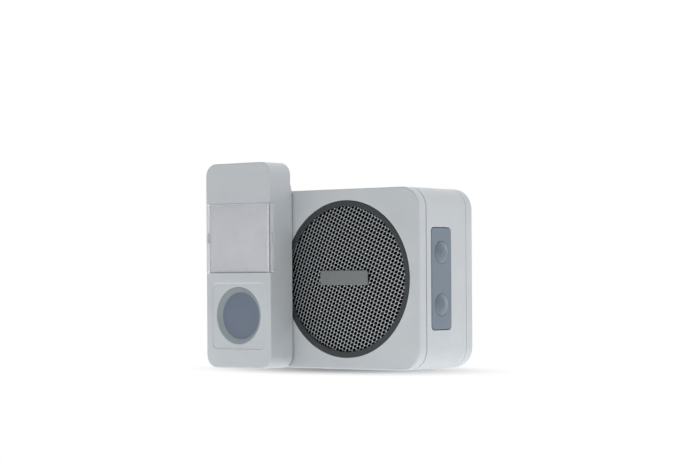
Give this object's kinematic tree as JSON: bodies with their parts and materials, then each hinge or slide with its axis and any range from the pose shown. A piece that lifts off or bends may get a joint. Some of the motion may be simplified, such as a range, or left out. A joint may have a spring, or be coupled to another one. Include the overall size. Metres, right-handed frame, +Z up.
{
  "type": "wireless doorbell",
  "caption": "Battery chime unit with round metal speaker grille and side keys, and a slim wireless bell push with name window and dished button in front.",
  "frame": {"origin": "middle of the chime's flat base", "axes": "+X to the chime's right side with the keys, +Y to its back, +Z up"},
  "size_m": [0.1161, 0.0621, 0.0985],
  "materials": {
    "case_plastic": "satin moulded ABS, light cool grey",
    "slate_plastic": "satin moulded ABS, dark slate",
    "key_plastic": "satin moulded ABS, blue grey",
    "mesh_metal": "expanded sheet, satin",
    "badge_metal": "brushed plate, left bare",
    "black_cloth": "black non-woven speaker cloth",
    "clear_acrylic": "clear moulded acrylic",
    "label_paper": "plain card",
    "sheet_steel": "zinc-plated pressed steel",
    "screw_steel": "zinc-plated",
    "ferrite": "sintered ferrite, dark grey",
    "cone_paper": "pressed black paper pulp",
    "soft_rubber": "soft black rubber",
    "spider_cloth": "resin-stiffened cloth",
    "copper_winding": "enamelled copper wire",
    "board_laminate": "glass-epoxy laminate, green",
    "chip_resin": "moulded black epoxy",
    "cell_jacket": "plain dark printed sleeve, bare of text",
    "contact_nickel": "nickel-plated spring steel"
  },
  "bodies": {
    "chime": {"front_cover": "case_plastic", "middle_body": "case_plastic", "rear_cover": "case_plastic", "grille_ring": "slate_plastic", "grille_mesh": "mesh_metal", "grille_cloth": "black_cloth", "badge_plate": "badge_metal", "key_panel": "key_plastic", "key_switches": "chip_resin", "chime_board": "board_laminate", "sound_chip": "chip_resin", "radio_module": "board_laminate", "chime_aerial": "copper_winding", "board_screws": "screw_steel", "case_screws": "screw_steel", "speaker_screws": "screw_steel", "speaker_gasket": "soft_rubber", "speaker_basket": "sheet_steel", "speaker_plate": "sheet_steel", "speaker_magnet": "ferrite", "magnet_yoke": "sheet_steel", "speaker_surround": "soft_rubber", "speaker_spider": "spider_cloth", "battery_cells": "cell_jacket", "contact_plates": "contact_nickel", "contact_springs": "contact_nickel"},
    "cone": {"speaker_cone": "cone_paper", "voice_coil": "copper_winding", "dust_cap": "cone_paper"},
    "volume_key": {"volume_key": "key_plastic", "volume_plunger": "chip_resin"},
    "melody_key": {"melody_key": "key_plastic", "melody_plunger": "chip_resin"},
    "battery_door": {"battery_door": "case_plastic"},
    "wall_plate": {"push_back_plate": "case_plastic"},
    "bell_push": {"push_case": "case_plastic", "button_seal": "soft_rubber", "push_switch": "chip_resin", "push_board": "board_laminate", "push_board_screws": "screw_steel", "push_chip": "chip_resin", "coin_cell": "contact_nickel", "cell_clip": "contact_nickel", "push_aerial": "copper_winding", "label_card": "label_paper"},
    "push_button": {"push_button": "key_plastic", "push_plunger": "chip_resin"},
    "name_window": {"name_window": "clear_acrylic"}
  },
  "joints": [
    {"name": "unit_lift", "type": "slide", "parent": "chime", "child": "wall_plate", "axis": [0, 0, 1], "range_m": [0, 0.12]},
    {"name": "case_unclip", "type": "slide", "parent": "wall_plate", "child": "bell_push", "axis": [0, -1, 0], "range_m": [0, 0.015]},
    {"name": "button_press", "type": "slide", "parent": "bell_push", "child": "push_button", "axis": [0, 1, 0], "range_m": [0, 0.0006], "stiffness_N_per_m": 4000},
    {"name": "window_unclip", "type": "slide", "parent": "bell_push", "child": "name_window", "axis": [0, -1, 0], "range_m": [0, 0.008]},
    {"name": "volume_press", "type": "slide", "parent": "chime", "child": "volume_key", "axis": [-1, 0, 0], "range_m": [0, 0.0004], "stiffness_N_per_m": 4000},
    {"name": "melody_press", "type": "slide", "parent": "chime", "child": "melody_key", "axis": [-1, 0, 0], "range_m": [0, 0.0004], "stiffness_N_per_m": 4000},
    {"name": "door_hinge", "type": "hinge", "parent": "chime", "child": "battery_door", "pos_m": [0, 0.0223, 0.00905], "axis": [-1, 0, 0], "range_deg": [0, 75]},
    {"name": "cone_stroke", "type": "slide", "parent": "chime", "child": "cone", "axis": [0, -1, 0], "range_m": [-0.0005, 0.0005], "stiffness_N_per_m": 1200}
  ]
}
